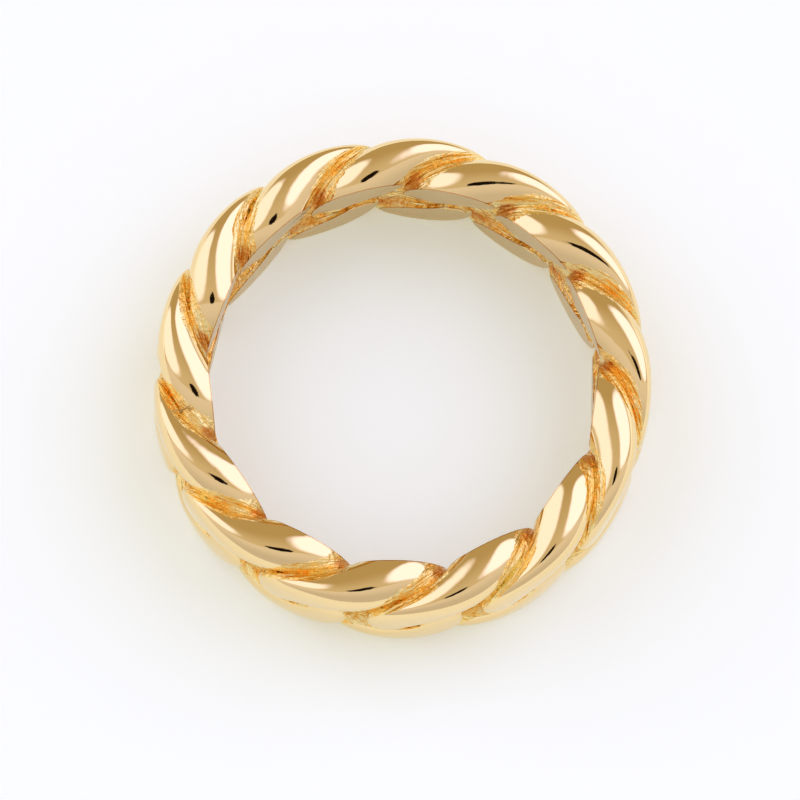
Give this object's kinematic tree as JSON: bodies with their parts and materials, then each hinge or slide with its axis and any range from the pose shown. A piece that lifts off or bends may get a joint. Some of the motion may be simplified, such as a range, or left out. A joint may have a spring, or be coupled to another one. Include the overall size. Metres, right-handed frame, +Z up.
{
  "type": "chain finger ring",
  "caption": "Finger ring cast as a closed curb chain of thick twisted links, flat on the inside, worn round a finger.",
  "frame": {"origin": "on the axis of the finger hole, level with the floor that the ring lies on", "axes": "+Z up along the finger hole, +X outwards through the middle of one link"},
  "size_m": [0.0228, 0.0228, 0.0056],
  "materials": {
    "gold": "polished gold plate, with the hollows left as cast"
  },
  "bodies": {
    "root": {"chain_band": "gold"}
  },
  "joints": []
}
